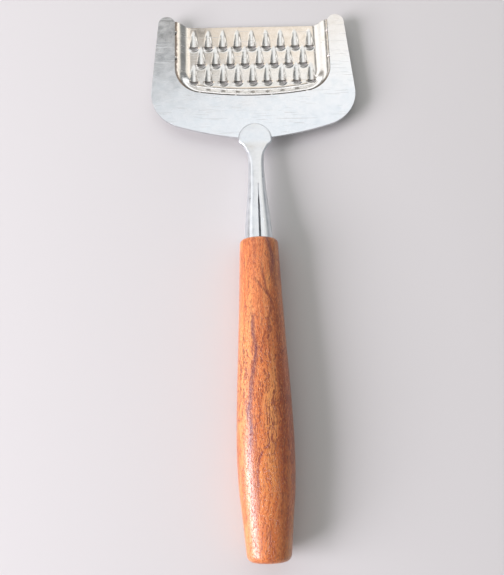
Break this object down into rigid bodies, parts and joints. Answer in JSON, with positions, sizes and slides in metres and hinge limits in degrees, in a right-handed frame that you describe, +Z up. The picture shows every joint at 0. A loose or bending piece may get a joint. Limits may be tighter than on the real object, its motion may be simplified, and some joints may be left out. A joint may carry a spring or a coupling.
{
  "type": "hand grater",
  "caption": "Flat hand grater: U-shaped steel frame holding a dished plate with round gouged holes, a rolled steel shank and an oval wooden handle with a swell.",
  "frame": {"origin": "middle of the tool's bounding box, on the table it lies on", "axes": "+Y along the tool from the handle's butt to the head, +Z up from the table, +X to the right of someone who holds the handle"},
  "size_m": [0.0952, 0.244, 0.0189],
  "materials": {
    "frame_steel": "satin polished stainless sheet, burnished edges",
    "plate_steel": "polished stainless pressing",
    "shank_steel": "satin polished rolled stainless sheet",
    "weld": "small tack weld, linished",
    "glue": "cured adhesive",
    "rosewood": "oiled and polished rosewood"
  },
  "bodies": {
    "root": {"frame_plate": "frame_steel", "grater_plate": "plate_steel", "seam_weld_left_1": "weld", "seam_weld_left_2": "weld", "seam_weld_right_1": "weld", "seam_weld_right_2": "weld", "seam_weld_rear_1": "weld", "seam_weld_rear_2": "weld", "seam_weld_rear_3": "weld", "seam_weld_rear_4": "weld", "shank": "shank_steel", "tongue_weld_1": "weld", "tongue_weld_2": "weld", "tongue_weld_3": "weld", "tang_glue": "glue", "handle": "rosewood"}
  },
  "joints": []
}
